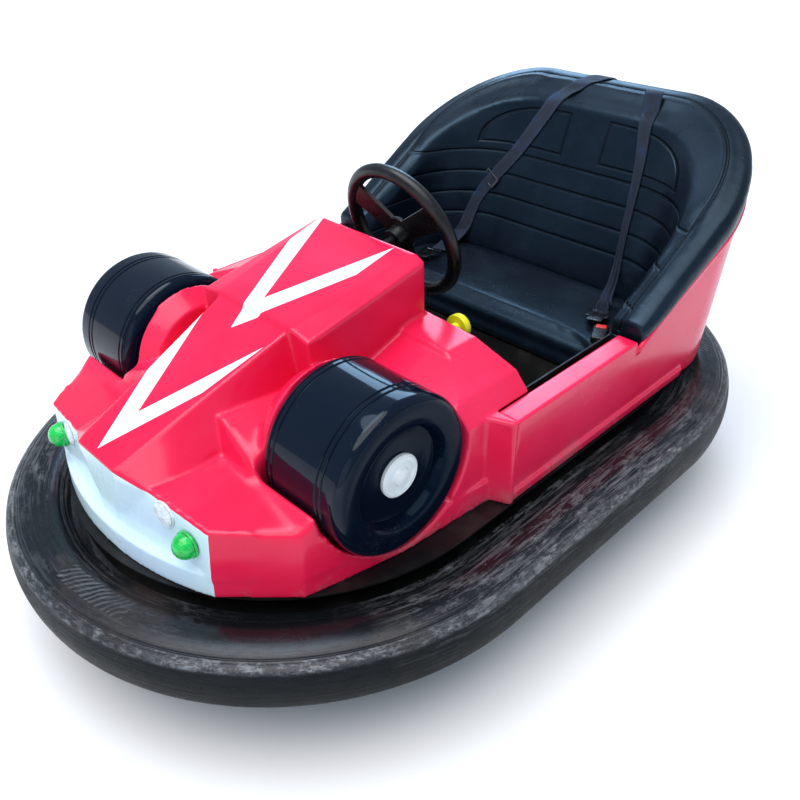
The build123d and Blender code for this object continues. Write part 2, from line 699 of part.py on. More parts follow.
belts = {  # points down the belt, turn of the tongue in degrees
    "left": (((-768, 147, 862), (-598, 213, 432), (-440, 290, 420)), 20),
    "right": (((-768, -100, 862), (-568, -300, 438), (-430, -280, 420)), 10),
}

singles = {
    "bumper_tyre": bumper_tyre, "bumper_rim": bumper_rim, "chassis_frame": chassis_frame,
    "body_ring": body_ring, "floor_pan": floor_pan, "front_body": front_body, "front_fascia": front_fascia,
    "rear_tub": rear_tub, "rim_pad": rim_pad, "backrest_pad": backrest_pad, "seat_cushion": seat_cushion,
    "seat_box": seat_box, "battery": battery, "dash_panel": dash_panel, "steering_wheel": steering_wheel,
    "steering_shaft": steering_shaft, "steering_gearbox": steering_gearbox, "steering_tower": steering_tower,
    "drive_fork": drive_fork, "drive_motor": drive_motor, "drive_wheel": drive_wheel, "rear_axle": rear_axle,
    "accelerator_pedal": accelerator_pedal, "toe_board": toe_board, "push_button": push_button, "key_switch": key_switch,
}
for name, make in singles.items():
    write(name, make())

pairs = {"side_liner": side_liner, "mock_wheel": mock_wheel, "hub_cap": hub_cap, "rear_wheel": rear_wheel}
for name, make in pairs.items():
    shape = make()
    write(f"{name}_left", shape)
    write(f"{name}_right", mirrored(shape))

for name, x, y, z, aim, lift, radius in lamps:
    write(f"{name}_left", lamp(x, y, z, aim, lift, radius))
    write(f"{name}_right", lamp(x, -y, z, -aim, lift, radius))

for side, (points, turn) in belts.items():
    x, y, z = points[-1]
    write(f"belt_{side}", strap(points))
    write(f"belt_tongue_{side}", belt_tongue((x + 26, y, z + 3.5), turn))
    write(f"belt_buckle_{side}", belt_buckle(1 if side == "left" else -1))
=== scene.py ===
import json
from math import atan2, cos, exp, pi, radians, sin

import bpy
from mathutils import Matrix, Vector


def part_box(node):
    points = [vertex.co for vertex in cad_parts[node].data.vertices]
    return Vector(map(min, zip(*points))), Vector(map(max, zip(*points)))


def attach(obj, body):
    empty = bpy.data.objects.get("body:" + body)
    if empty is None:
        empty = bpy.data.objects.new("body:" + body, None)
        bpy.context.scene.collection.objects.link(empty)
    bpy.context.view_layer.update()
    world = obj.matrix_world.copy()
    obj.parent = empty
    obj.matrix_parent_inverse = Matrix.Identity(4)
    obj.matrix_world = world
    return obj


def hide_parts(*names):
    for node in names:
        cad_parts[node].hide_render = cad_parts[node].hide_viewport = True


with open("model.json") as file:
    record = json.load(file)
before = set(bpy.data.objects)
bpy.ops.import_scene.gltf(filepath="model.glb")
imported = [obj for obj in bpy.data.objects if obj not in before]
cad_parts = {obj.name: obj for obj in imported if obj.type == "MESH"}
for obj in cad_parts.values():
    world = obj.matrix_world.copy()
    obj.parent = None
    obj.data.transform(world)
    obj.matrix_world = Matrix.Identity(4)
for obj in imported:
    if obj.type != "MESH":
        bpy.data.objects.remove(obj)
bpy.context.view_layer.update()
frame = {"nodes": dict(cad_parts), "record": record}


# writing shaders as expressions

class Wire:
    def __init__(self, finish, socket):
        self.finish, self.socket = finish, socket

    def maths(self, operation, *others):
        return self.finish.node("ShaderNodeMath", {"operation": operation}, dict(enumerate((self, *others))))

    def __add__(self, other): return self.maths("ADD", other)
    def __sub__(self, other): return self.maths("SUBTRACT", other)
    def __rsub__(self, other): return (self * -1.0).maths("ADD", other)
    def __mul__(self, other): return self.maths("MULTIPLY", other)
    def __truediv__(self, other): return self.maths("DIVIDE", other)
    def __abs__(self): return self.maths("ABSOLUTE")
    def least(self, other): return self.maths("MINIMUM", other)
    def most(self, other): return self.maths("MAXIMUM", other)
    def sine(self): return self.maths("SINE")
    def root(self): return self.maths("SQRT")


class Finish:
    def __init__(self, name):
        self.material = bpy.data.materials.new(name)
        self.material.use_nodes = True
        self.material.node_tree.nodes.clear()
        self.place = self.node("ShaderNodeTexCoord", {}, {}, "Object")

    def node(self, kind, settings, inputs, output=0):
        made = self.material.node_tree.nodes.new(kind)
        for name, value in settings.items():
            setattr(made, name, value)
        for name, value in inputs.items():
            if isinstance(value, Wire):
                self.material.node_tree.links.new(value.socket, made.inputs[name])
            else:
                made.inputs[name].default_value = value
        return Wire(self, made.outputs[output])

    def parts(self, vector):
        split = self.node("ShaderNodeSeparateXYZ", {}, {0: vector}).socket.node
        return [Wire(self, output) for output in split.outputs]

    def axes(self):
        return self.parts(self.place)

    def facing(self):
        return self.parts(self.node("ShaderNodeNewGeometry", {}, {}, "True Normal"))

    def joined(self, x, y, z):
        return self.node("ShaderNodeCombineXYZ", {}, {0: x, 1: y, 2: z})

    def stretched(self, scale, at=None):
        return self.node("ShaderNodeMapping", {}, {"Vector": at or self.place, "Scale": scale})

    def noise(self, scale, detail=4.0, roughness=0.55, at=None):
        return self.node("ShaderNodeTexNoise", {}, {"Vector": at or self.place, "Scale": scale, "Detail": detail,
                                                    "Roughness": roughness})

    def cells(self, scale, at=None, randomness=1.0):
        return self.node("ShaderNodeTexVoronoi", {}, {"Vector": at or self.place, "Scale": scale,
                                                      "Randomness": randomness})

    def ramp(self, value, low, high, fromLow=0.0, fromHigh=1.0):
        return self.node("ShaderNodeMapRange", {"interpolation_type": "SMOOTHSTEP"},
                         {"Value": value, "From Min": low, "From Max": high, "To Min": fromLow, "To Max": fromHigh})

    def band(self, value, low, high, soft):
        return self.ramp(value, low - soft, low + soft) * self.ramp(value, high - soft, high + soft, 1.0, 0.0)

    def mixed(self, factor, first, second):
        made = self.node("ShaderNodeMix", {"data_type": "RGBA"}, {0: factor}, 2)
        for slot, value in ((6, first), (7, second)):
            if isinstance(value, Wire):
                self.material.node_tree.links.new(value.socket, made.socket.node.inputs[slot])
            else:
                made.socket.node.inputs[slot].default_value = (*value, 1.0)
        return made

    def bump(self, height, distance, strength=1.0):
        return self.node("ShaderNodeBump", {}, {"Height": height, "Strength": strength, "Distance": distance})

    def surface(self, colour, roughness, normal=None, **constants):
        inputs = {"Base Color": colour if isinstance(colour, Wire) else (*colour, 1.0), "Roughness": roughness}
        if normal:
            inputs["Normal"] = normal
        inputs.update({name.replace("_", " "): value for name, value in constants.items()})
        shader = self.node("ShaderNodeBsdfPrincipled", {}, inputs)
        output = self.material.node_tree.nodes.new("ShaderNodeOutputMaterial")
        self.material.node_tree.links.new(shader.socket, output.inputs["Surface"])
        return self.material


# finishes

ringSizes = {"halfStraight": 0.321, "radius": 0.654, "bead": 0.505}
rubber = {"base": (0.005, 0.006, 0.008), "dusty": (0.185, 0.192, 0.208), "brown": (0.040, 0.030, 0.027),
          "chalk": (0.55, 0.54, 0.53), "tread": (0.007, 0.008, 0.008)}
lugPatches = {"size": 370.0, "torn": 0.003, "across": (0.566, 0.612), "runs": ((0.025, 0.240), (-1.70, -1.45))}
mouldLines = ((0.6165, 0.6180), (0.6245, 0.6258), (0.5300, 0.5312))
shoulderBand = (0.6285, 0.6465)


def bumperRubber():
    f = Finish("bumperRubber")
    x, y, z = f.axes()
    half = ringSizes["halfStraight"]
    spine = x.most(-half).least(half)
    out = x - spine
    rho = (out * out + y * y).root()
    turn = y.maths("ARCTAN2", out)
    side = y.maths("SIGN")
    along = side * (abs(turn) * ringSizes["radius"] + (half - spine))
    ring = f.joined(along, rho, z)
    up = f.facing()[2]
    top = f.ramp(up, 0.30, 0.55)
    # worn lug bars on the sidewall, in patches, with wavy runs
    wave = f.noise(9.0, 3.0, 0.6, at=ring) * 0.060 + rho * 0.8
    lugs = f.ramp(((along + wave) * lugPatches["size"]).sine(), -0.1, 0.3)
    torn = along + f.noise(22.0, 5.0, 0.7, at=ring) * 0.05
    patches = f.band(abs(torn), 2.10, 2.35, lugPatches["torn"])
    for run in lugPatches["runs"]:
        patches = patches.most(f.band(torn, *run, lugPatches["torn"]))
    across = rho + f.noise(14.0, 4.0, 0.7, at=ring) * 0.020
    lugMask = lugs * patches * f.band(across, *lugPatches["across"], 0.002) * top
    # scuffs drawn out along the ring, in clouds
    drawn = f.stretched((2.0, 30.0, 30.0), ring)
    scuff = f.ramp(f.noise(4.0, 12.0, 0.8, at=drawn), 0.50, 0.555)
    cloud = f.ramp(f.noise(2.2, 4.0, 0.6), 0.44, 0.62)
    smear = f.ramp(f.noise(16.0, 12.0, 0.8, at=f.stretched((1.0, 2.2, 2.2), ring)), 0.53, 0.57)
    fleck = f.ramp(f.noise(140.0, 6.0, 0.8, at=f.stretched((0.4, 1.0, 1.0), ring)), 0.56, 0.64)
    shoulder = f.band(rho, *shoulderBand, 0.002) * f.ramp(z, 0.255, 0.262)
    chewed = shoulder * f.ramp(f.noise(70.0, 8.0, 0.85, at=f.stretched((0.45, 1.0, 1.0), ring)), 0.44, 0.56)
    scratches = f.ramp(f.noise(8.0, 10.0, 0.85, at=f.stretched((1.6, 90.0, 90.0), ring)), 0.63, 0.68)
    lineMasks = [f.band(rho, *line, 0.0005) for line in mouldLines]
    mouldLine = lineMasks[0].most(lineMasks[1]).most(lineMasks[2]) * top
    rubbed = f.ramp(abs(along - 0.15), 0.20, 0.80, 0.50, 1.4)
    dust = scuff * cloud * 0.34 * rubbed + smear * cloud * 0.30 * top * rubbed
    dust = dust + lugMask * 0.50 + chewed + shoulder * 0.16 + fleck * 0.05 + mouldLine * 0.22
    dust = dust.least(1.0) * f.ramp(up, -0.1, 0.5, 0.22, 1.0)
    colour = f.mixed(f.ramp(up, 0.2, 0.5), rubber["tread"], rubber["base"])
    colour = f.mixed(dust, colour, rubber["dusty"])
    brown = f.ramp(f.noise(4.0, 5.0, 0.6), 0.52, 0.68) * (top * 0.5 + 0.2)
    colour = f.mixed(brown, colour, rubber["brown"])
    colour = f.mixed(scratches * top * cloud * 0.8, colour, rubber["chalk"])
    rough = f.ramp(f.noise(6.0, 6.0), 0.3, 0.7, 0.24, 0.40) + dust * 0.36 + f.ramp(up, 0.1, 0.5, 0.16, 0.0)
    # fine lines run round the tread face
    lines = f.ramp(f.noise(1.0, 2.0, at=f.stretched((0.6, 1.0, 260.0), ring)), 0.45, 0.55)
    lines = lines * f.ramp(up, 0.2, 0.5, 1.0, 0.0)
    nicks = f.ramp(f.cells(26.0, at=f.stretched((1.0, 3.0, 1.0), ring)), 0.09, 0.04)
    height = lugMask * 1.0 + chewed * 0.9 + scuff * cloud * 0.2 + smear * 0.2 + f.noise(230.0, 4.0, 0.7) * 0.10
    height = height + lines * 0.16 - nicks * 0.8 + mouldLine * 0.8
    return f.surface(colour, rough, f.bump(height, 0.0024), Specular_IOR_Level=0.12,
                     Specular_Tint=(0.65, 0.80, 1.0, 1.0), Coat_Weight=f.ramp(up, 0.30, 0.70, 0.0, 0.5),
                     Coat_Roughness=0.26)


gelcoat = {"red": (0.79, 0.008, 0.058), "faded": (0.86, 0.038, 0.125),
           "white": (0.68, 0.88, 0.93), "shade": (0.60, 0.77, 0.95), "grime": (0.25, 0.22, 0.20)}


def wornGloss(f, base, worn, dust=0.5):
    x, y, z = f.axes()
    mottle = f.ramp(f.noise(3.2, 4.0), 0.35, 0.7)
    colour = f.mixed(mottle * 0.5, base, worn)
    hair = f.ramp(f.noise(14.0, 9.0, 0.8, at=f.stretched((1.0, 7.0, 7.0))), 0.69, 0.74) * f.ramp(
        f.noise(2.6, 3.0), 0.5, 0.62)
    colour = f.mixed(hair * 0.35, colour, (0.92, 0.75, 0.75))
    low = f.ramp(z, 0.30, 0.36, 1.0, 0.0) * f.ramp(f.noise(9.0, 6.0, 0.7), 0.45, 0.7)
    colour = f.mixed(low * dust, colour, gelcoat["grime"])
    rough = f.ramp(f.noise(6.0, 5.0), 0.3, 0.75, 0.16, 0.30) + hair * 0.2 + low * 0.2
    height = f.noise(5.0, 2.0) * 0.8 + f.noise(160.0, 2.0) * 0.02
    return colour, rough, f.bump(height, 0.0016)


# each chevron's tip and inner tip, the spread of its right and left arm ahead of the nose's knee and past it,
# and the line that cuts its right arm off
chevrons = (
    {"tip": 0.778, "inner": 0.683, "middle": -0.009, "ahead": (0.455, 0.470), "spread": (0.455, 0.470),
     "innerSpread": (0.477, 0.430), "knee": 0.05, "stop": 0.440, "cut": (0.1806, -0.176)},
    {"tip": 0.455, "inner": 0.366, "middle": -0.010, "ahead": (0.730, 0.420), "spread": (0.362, 0.520),
     "innerSpread": (0.378, 0.480), "knee": 0.05, "stop": 0.070, "cut": (0.0909, 0.0345)})
# half the width of the nose's flat top at two places, and how fast it grows to the rear
noseTop = {"tip": 0.789, "tipHalf": 0.063, "spread": 0.1354, "knee": 0.405, "kneeHalf": 0.116, "rearSpread": 0.0997}
# top edges of beak and lamp faces: where each starts to fall, its height, its slope
fascia = {"beak": (0.066, 0.498, -0.361), "lamps": (0.138, 0.476, -0.1111), "below": 0.0058,
          "end": (0.352, 0.283, 0.0726), "front": 0.70}


def redGelcoat(name, withChevrons=False):
    f = Finish(name)
    colour, rough, normal = wornGloss(f, gelcoat["red"], gelcoat["faded"])
    if withChevrons:
        x, y, z = f.axes()
        narrow = (x * -1.0 + noseTop["tip"]) * noseTop["spread"] + noseTop["tipHalf"]
        broad = (x * -1.0 + noseTop["knee"]) * noseTop["rearSpread"] + noseTop["kneeHalf"]
        top = f.ramp(abs(y) - narrow.most(broad), -0.001, 0.0, 1.0, 0.0) * f.ramp(z, 0.49, 0.492)
        marks = None
        for row in chevrons:
            left = f.ramp(y - row["middle"], -0.0001, 0.0001)
            off = abs(y - row["middle"])
            ahead, outer, inner = (left * (row[key][0] - row[key][1]) + row[key][1]
                                   for key in ("ahead", "spread", "innerSpread"))
            run = x * -1.0 + row["tip"]
            edge = ahead * run.least(row["knee"]) + outer * (run - row["knee"]).most(0.0)
            within = f.ramp(edge - off, 0.0, 0.0010)
            past = f.ramp(off - (x * -1.0 + row["inner"]) * inner, 0.0, 0.0010)
            cut = f.ramp(y - x * row["cut"][1] - row["cut"][0], -0.0008, 0.0, 1.0, 0.0)
            mark = within * past * cut * f.ramp(x, row["stop"], row["stop"] + 0.001)
            marks = mark if marks is None else marks.most(mark)
        marks = marks * top
        colour = f.mixed(marks, colour, gelcoat["white"])
        # the pale fascia: below the top edges of beak and lamp faces, as far as its two ends
        side, high, slope = fascia["beak"]
        beakEdge = ((abs(y) - side) * slope + high).least(high)
        side, high, slope = fascia["lamps"]
        edge = beakEdge.most((abs(y) - side) * slope + high) - fascia["below"]
        low, half, slope = fascia["end"]
        end = (z - low).most(0.0) * slope + half
        pale = f.ramp(z - edge, 0.0, 0.0008, 1.0, 0.0) * f.ramp(abs(y) - end, 0.0, 0.0008, 1.0, 0.0)
        pale = pale * f.ramp(x, fascia["front"], fascia["front"] + 0.001)
        white = f.mixed(f.ramp(f.noise(3.0, 3.0), 0.35, 0.7), gelcoat["white"], gelcoat["shade"])
        colour = f.mixed(pale, colour, white)
        rough = rough + marks * 0.06
    return f.surface(colour, rough, normal, Specular_IOR_Level=0.30, Specular_Tint=(0.80, 0.88, 1.0, 1.0),
                     Coat_Weight=0.14, Coat_Roughness=0.10)


def whiteGelcoat():
    f = Finish("whiteGelcoat")
    colour, rough, normal = wornGloss(f, gelcoat["white"], gelcoat["shade"])
    deckEdge = f.ramp(f.facing()[2], 0.7, 0.8) * f.ramp(f.axes()[2], 0.40, 0.41)
    colour = f.mixed(deckEdge, colour, gelcoat["red"])
    return f.surface(colour, rough, normal, Coat_Weight=0.2, Coat_Roughness=0.08)


channels = {"heights": (0.487, 0.545, 0.603, 0.661), "depth": 0.0011, "width": 0.0055}
headrest = {"inner": 0.064, "reach": 0.252, "low": 0.686, "rise": 0.102, "power": 2.6}
rollSeam = {"inset": 0.062, "depth": 0.0022, "width": 0.0055, "stitch": 0.0705}
backPlane = {"x": -0.600, "z": 0.410, "lean": 0.400}


def vinyl(name="blackVinyl", sewn=False):
    f = Finish(name)
    x, y, z = f.axes()
    grain = f.cells(430.0)
    creases = f.noise(20.0, 7.0, 0.62)
    worn = f.ramp(f.noise(4.5, 6.0, 0.62), 0.46, 0.72)
    colour = f.mixed(worn * 0.7, (0.0030, 0.0055, 0.010), (0.010, 0.017, 0.029))
    rough = f.ramp(f.noise(7.0, 5.0), 0.3, 0.7, 0.22, 0.36)
    height = grain * 0.16 + creases * 0.8
    if sewn:
        face = f.ramp(abs(y), 0.455, 0.457, 1.0, 0.0) * f.ramp(x, -0.262, -0.260, 1.0, 0.0)
        front = f.ramp(x + (z - backPlane["z"]) * backPlane["lean"] - backPlane["x"], -0.10, -0.095)
        lines = None
        for level in channels["heights"]:
            line = f.ramp(abs(z - level), 0.0010, 0.0042, 1.0, 0.0)
            lines = line if lines is None else lines.most(line)
        across, above = abs(y) - headrest["inner"], z - headrest["low"]
        power = headrest["power"]
        wide = (across.most(0.0) / headrest["reach"]).maths("POWER", power)
        tall = (above.most(0.0) / headrest["rise"]).maths("POWER", power)
        bow = (wide + tall).maths("POWER", 1.0 / power)
        rim = (across * -1.0).most(above * -1.0).most((bow - 1.0) * 0.11)
        outline = f.ramp(abs(rim), 0.0010, 0.0042, 1.0, 0.0)
        sewnLine = (lines * face * front).most(outline * f.ramp(x, -0.60, -0.599, 1.0, 0.0) * front)
        inset = f.node("ShaderNodeAttribute", {"attribute_name": "inset"}, {}, 2)
        onTop = f.ramp(f.node("ShaderNodeAttribute", {"attribute_name": "below"}, {}, 2), 0.045, 0.05, 1.0, 0.0)
        seam = f.ramp(abs(inset - rollSeam["inset"]), 0.0012, 0.0045, 1.0, 0.0) * onTop
        stitch = f.ramp(abs(inset - rollSeam["stitch"]), 0.0008, 0.0022, 1.0, 0.0) * onTop
        sewnLine = sewnLine.most(seam).most(stitch * 0.5)
        height = height - sewnLine * 3.0
        # the sewn lines are painted near black: painted shade in the sewn grooves
        colour = f.mixed(sewnLine * 0.8, colour, (0.002, 0.002, 0.003))
    return f.surface(colour, rough, f.bump(height, 0.0012), Specular_IOR_Level=0.38,
                     Specular_Tint=(0.45, 0.72, 1.0, 1.0))


def plainFinish(name, base, worn, rough, scale=6.0, grain=180.0, depth=0.0004, metallic=0.0, **constants):
    f = Finish(name)
    patch = f.ramp(f.noise(scale, 6.0, 0.65), 0.48, 0.7)
    colour = f.mixed(patch, base, worn)
    roughness = f.ramp(f.noise(scale * 2.3, 5.0), 0.3, 0.7, rough - 0.07, rough + 0.09)
    return f.surface(colour, roughness, f.bump(f.noise(grain, 3.0), depth), Metallic=metallic, **constants)


mockWheel = {
    "x": 0.424, "y": 0.345, "z": 0.481, "radius": 0.163, "grooves": (-0.086, -0.073, 0.048, 0.061), "grooveDeep": 0.003,
    "grooveHalf": (0.0035, 0.0015), "drum": (-0.0893, 0.0905), "steps": 96, "shine": (0.146, 0.158),
    "inner": ((0.0, -0.109), (0.129, -0.109), (0.147, -0.104), (0.158, -0.097), (0.1615, -0.093)),
    "outer": ((0.1626, 0.0945), (0.161, 0.0985), (0.158, 0.1035), (0.154, 0.107), (0.149, 0.1087), (0.143, 0.109),
              (0.112, 0.1085), (0.109, 0.107), (0.1055, 0.1045), (0.104, 0.102), (0.098, 0.083), (0.096, 0.0822),
              (0.044, 0.088), (0.0, 0.088)),
}


def glossBlack():
    f = Finish("glossBlack")
    specks = f.ramp(f.cells(330.0), 0.16, 0.08) * f.ramp(f.noise(7.0, 3.0), 0.56, 0.66)
    hair = f.ramp(f.noise(30.0, 8.0, 0.8, at=f.stretched((1.0, 9.0, 1.0))), 0.70, 0.74)
    colour = f.mixed(specks * 0.8, (0.0013, 0.0045, 0.0130), (0.45, 0.40, 0.38))
    colour = f.mixed(hair * 0.3, colour, (0.2, 0.2, 0.2))
    rough = f.ramp(f.noise(5.0, 5.0), 0.3, 0.7, 0.10, 0.20) + specks * 0.4 + hair * 0.2
    x, y, z = f.axes()
    ahead, above = x - mockWheel["x"], z - mockWheel["z"]
    fromAxle = (ahead * ahead + above * above).root()
    polish = f.ramp(fromAxle, *mockWheel["shine"], 0.03, 0.42)       # the drum shines more than its worn face
    return f.surface(colour, rough, f.bump(f.noise(9.0, 2.0) + specks * 0.1, 0.0012), Specular_IOR_Level=0.08,
                     Specular_Tint=(0.30, 0.62, 1.0, 1.0), Coat_Weight=polish, Coat_Roughness=0.04)


print("finishes")
finishes = {
    "bumper_rubber": bumperRubber(),
    "red_gelcoat": redGelcoat("redGelcoat"),
    "white_gelcoat": whiteGelcoat(),
    "black_vinyl": vinyl(),
    "gloss_black": glossBlack(),
    "black_steel": plainFinish("blackSteel", (0.004, 0.004, 0.0045), (0.018, 0.017, 0.017), 0.42,
                               Specular_IOR_Level=0.25),
    "floor_steel": plainFinish("floorSteel", (0.010, 0.010, 0.011), (0.05, 0.048, 0.045), 0.5, 4.0),
    "plywood": plainFinish("paintedPlywood", (0.014, 0.014, 0.014), (0.05, 0.045, 0.04), 0.6, 8.0, 60.0),
    "battery_case": plainFinish("batteryCase", (0.02, 0.02, 0.022), (0.06, 0.06, 0.06), 0.55),
    "black_panel": plainFinish("blackPanel", (0.004, 0.004, 0.005), (0.015, 0.015, 0.015), 0.45, 5.0, 300.0,
                               Specular_IOR_Level=0.3),
    "cast_housing": plainFinish("castHousing", (0.05, 0.05, 0.055), (0.12, 0.11, 0.10), 0.5, 9.0, 220.0, 0.0012),
    "axle_steel": plainFinish("axleSteel", (0.42, 0.42, 0.43), (0.22, 0.19, 0.17), 0.34, 11.0, 300.0, 0.0003, 1.0),
    "yellow_plastic": plainFinish("yellowPlastic", (0.86, 0.80, 0.01), (0.80, 0.70, 0.02), 0.3),
    "bright_metal": plainFinish("brightMetal", (0.62, 0.62, 0.62), (0.35, 0.34, 0.33), 0.22, 20.0, 300.0, 0.0002, 1.0),
    "white_plastic": plainFinish("whitePlastic", (0.80, 0.86, 0.88), (0.66, 0.72, 0.74), 0.28),
    "clear_lens": plainFinish("clearLens", (0.80, 0.84, 0.86), (0.70, 0.75, 0.78), 0.10),
    "green_lens": plainFinish("greenLens", (0.0, 0.52, 0.07), (0.0, 0.34, 0.05), 0.14),
    "webbing": plainFinish("webbing", (0.018, 0.02, 0.025), (0.05, 0.055, 0.065), 0.6),
    "grip_plastic": plainFinish("gripPlastic", (0.004, 0.004, 0.005), (0.014, 0.014, 0.015), 0.30, 12.0, 420.0,
                                Specular_IOR_Level=0.4),
    "motor_case": plainFinish("motorCase", (0.03, 0.03, 0.034), (0.09, 0.085, 0.08), 0.45),
    "wheel_rubber": plainFinish("wheelRubber", (0.018, 0.018, 0.018), (0.09, 0.085, 0.08), 0.7, 14.0),
}


def webbingWeave():
    f = Finish("webbingWeave")
    u, v, w = f.parts(f.node("ShaderNodeUVMap", {}, {}))
    ribs = (u * 150.0).sine() * (v * 4200.0).sine()
    # bands near both edges, painted lighter: painted highlights along the belt's edges
    edge = f.band(abs(u - 0.5), 0.34, 0.40, 0.02)
    wear = f.ramp(f.noise(18.0, 6.0, 0.7), 0.48, 0.68)
    colour = f.mixed(wear * 0.6 + edge * 0.5, (0.003, 0.009, 0.026), (0.016, 0.048, 0.135))
    height = ribs * 0.4 + f.band(abs(u - 0.5), 0.385, 0.395, 0.004) * -0.6 + f.noise(40.0, 4.0) * 0.4
    return f.surface(colour, f.ramp(wear, 0.0, 1.0, 0.50, 0.66), f.bump(height, 0.0008))


def cutLens(name, clear, deep, lines):
    f = Finish(name)
    edges = f.node("ShaderNodeTexVoronoi", {"feature": "DISTANCE_TO_EDGE"}, {"Vector": f.place, "Scale": 95.0})
    cut = f.ramp(edges, 0.02, 0.14, 1.0, 0.0)
    glow = f.ramp(f.noise(60.0, 3.0), 0.35, 0.65)
    colour = f.mixed(glow, clear, deep)
    colour = f.mixed(cut * lines, colour, (deep[0] * 0.35, deep[1] * 0.35, deep[2] * 0.35))
    return f.surface(colour, f.ramp(glow, 0.0, 1.0, 0.06, 0.14), f.bump(cut * -1.0, 0.0003), Coat_Weight=0.3,
                     Coat_Roughness=0.03, IOR=1.5)


lensFinish = {
    "clear_lens": cutLens("headlampGlass", (0.80, 0.88, 0.93), (0.66, 0.73, 0.80), 0.22),
    "green_lens": cutLens("markerGreen", (0.0, 0.60, 0.09), (0.0, 0.42, 0.05), 0.14),
}
glossSteel = plainFinish("glossSteel", (0.10, 0.10, 0.11), (0.24, 0.24, 0.25), 0.24, 30.0, 400.0, 0.0002, 1.0)
buttonRed = plainFinish("buttonRed", (0.70, 0.02, 0.015), (0.50, 0.02, 0.015), 0.35, 40.0)
webbingFinish = webbingWeave()
chevronBody = redGelcoat("redGelcoatChevrons", True)
sewnVinyl = vinyl("sewnVinyl", True)
slotOf = {row["node"]: row["material_slot"] for row in frame["record"]["subparts"]}


def dress(node, material):
    mesh = frame["nodes"][node].data
    mesh.materials.clear()
    mesh.materials.append(material)


for node, slotName in slotOf.items():
    dress(node, finishes[slotName])
dress("steering_shaft", finishes["black_steel"])


# helpers for modelling

def selectOnly(thing):
    bpy.ops.object.select_all(action="DESELECT")
    thing.select_set(True)
    bpy.context.view_layer.objects.active = thing


def applyAll(thing):
    selectOnly(thing)
    for modifier in list(thing.modifiers):
        bpy.ops.object.modifier_apply(modifier=modifier.name)


def editing(thing, *steps):
    selectOnly(thing)
    bpy.ops.object.mode_set(mode="EDIT")
    for step in steps:                     # a step may leave only its new faces selected
        bpy.ops.mesh.select_all(action="SELECT")
        step()
    bpy.ops.object.mode_set(mode="OBJECT")


def mergeClose():
    bpy.ops.mesh.remove_doubles(threshold=0.00004)


def pointOutwards():
    bpy.ops.mesh.normals_make_consistent(inside=False)


def copyOf(name, *nodes):
    bpy.ops.object.select_all(action="DESELECT")
    for node in nodes:
        piece = bpy.data.objects.new(name, frame["nodes"][node].data.copy())
        bpy.context.scene.collection.objects.link(piece)
        piece.select_set(True)
        bpy.context.view_layer.objects.active = piece
    if len(nodes) > 1:
        bpy.ops.object.join()
        piece.name = name
    editing(piece, mergeClose)
    return piece


def fresh(name, add, **options):
    bpy.ops.object.select_all(action="DESELECT")
    add(**options)
    bpy.context.object.name = name
    return bpy.context.object


def spun(name, section, steps):
    piece = fresh(name, bpy.ops.mesh.primitive_circle_add, vertices=len(section), fill_type="NOTHING")
    for vertex, (reach, along) in zip(piece.data.vertices, section):
        vertex.co = (reach, 0.0, along)
    editing(piece, lambda: bpy.ops.mesh.spin(steps=steps, angle=2 * pi, center=(0, 0, 0), axis=(0, 0, 1)),
            mergeClose, bpy.ops.mesh.delete_loose, pointOutwards)
    return piece


def settle(piece, material, slot, body, *nodes, angle=None):
    selectOnly(piece)
    bpy.ops.object.transform_apply(location=True, rotation=True, scale=True)
    if angle is None:
        bpy.ops.object.shade_smooth()
    else:
        bpy.ops.object.shade_smooth_by_angle(angle=radians(angle))
    piece.data.materials.clear()
    piece.data.materials.append(material)
    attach(piece, body)
    if nodes:
        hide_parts(*nodes)
    print(piece.name, len(piece.data.polygons))
    return piece


# moulded shells: the panels rounded on every edge, as they come from a mould

moulding = {
    "frontMoulding": {"nodes": ("front_body", "front_fascia"), "voxel": 0.0030, "rounds": 16, "keep": 0.26,
                      "blend": ((0.585, 0.30, 0.42), (0.105, 0.150))},
    "rearMoulding": {"nodes": ("rear_tub",), "voxel": 0.0032, "rounds": 12, "keep": 0.24},
}


def mouldedShell(name, material):
    settings = moulding[name]
    piece = copyOf(name, *settings["nodes"])
    skin = piece.modifiers.new("skin", "REMESH")
    skin.mode, skin.voxel_size = "VOXEL", settings["voxel"]
    even = piece.modifiers.new("even", "SMOOTH")
    even.factor, even.iterations = 0.5, settings["rounds"]
    if "blend" in settings:                # the shelf runs softly into the round of the mock wheels
        applyAll(piece)
        (x, y, low), (reachX, reachY) = settings["blend"]
        group = piece.vertex_groups.new(name="blend")
        for v in piece.data.vertices:
            near = 1.0 - ((v.co.x - x) / reachX) ** 2 - ((abs(v.co.y) - y) / reachY) ** 2
            if near > 0.0 and v.co.z > low:
                group.add([v.index], near ** 0.5, "REPLACE")
        ease = piece.modifiers.new("ease", "SMOOTH")
        ease.factor, ease.iterations, ease.vertex_group = 0.5, 220, "blend"
    lighter = piece.modifiers.new("lighter", "DECIMATE")
    lighter.ratio = settings["keep"]
    applyAll(piece)
    return settle(piece, material, "red_gelcoat", "chassis", *settings["nodes"])


mouldedShell("frontMoulding", chevronBody)
mouldedShell("rearMoulding", finishes["red_gelcoat"])


# bumper tyre: its section swept round the ring, with moulded ring lines

tyreShape = {
    "bead": (0.499, 0.253), "crownStart": (0.517, 0.253), "crown": (0.570, 0.285), "shoulder": (0.639, 0.271),
    "treadTop": (0.647, 0.264), "tread": (0.654, 0.2215), "treadLow": (0.647, 0.179), "lowEdge": (0.639, 0.172),
    "belly": (0.570, 0.145), "bellyEnd": (0.517, 0.165), "beadLow": (0.499, 0.165), "halfStraight": 0.321,
    "turnSteps": 192, "lines": (0.6335, 0.6255, 0.536, 0.5275, 0.519), "lineWidth": 0.0017, "lineDepth": 0.0020,
    "edge": (0.6435, 0.2685),
}


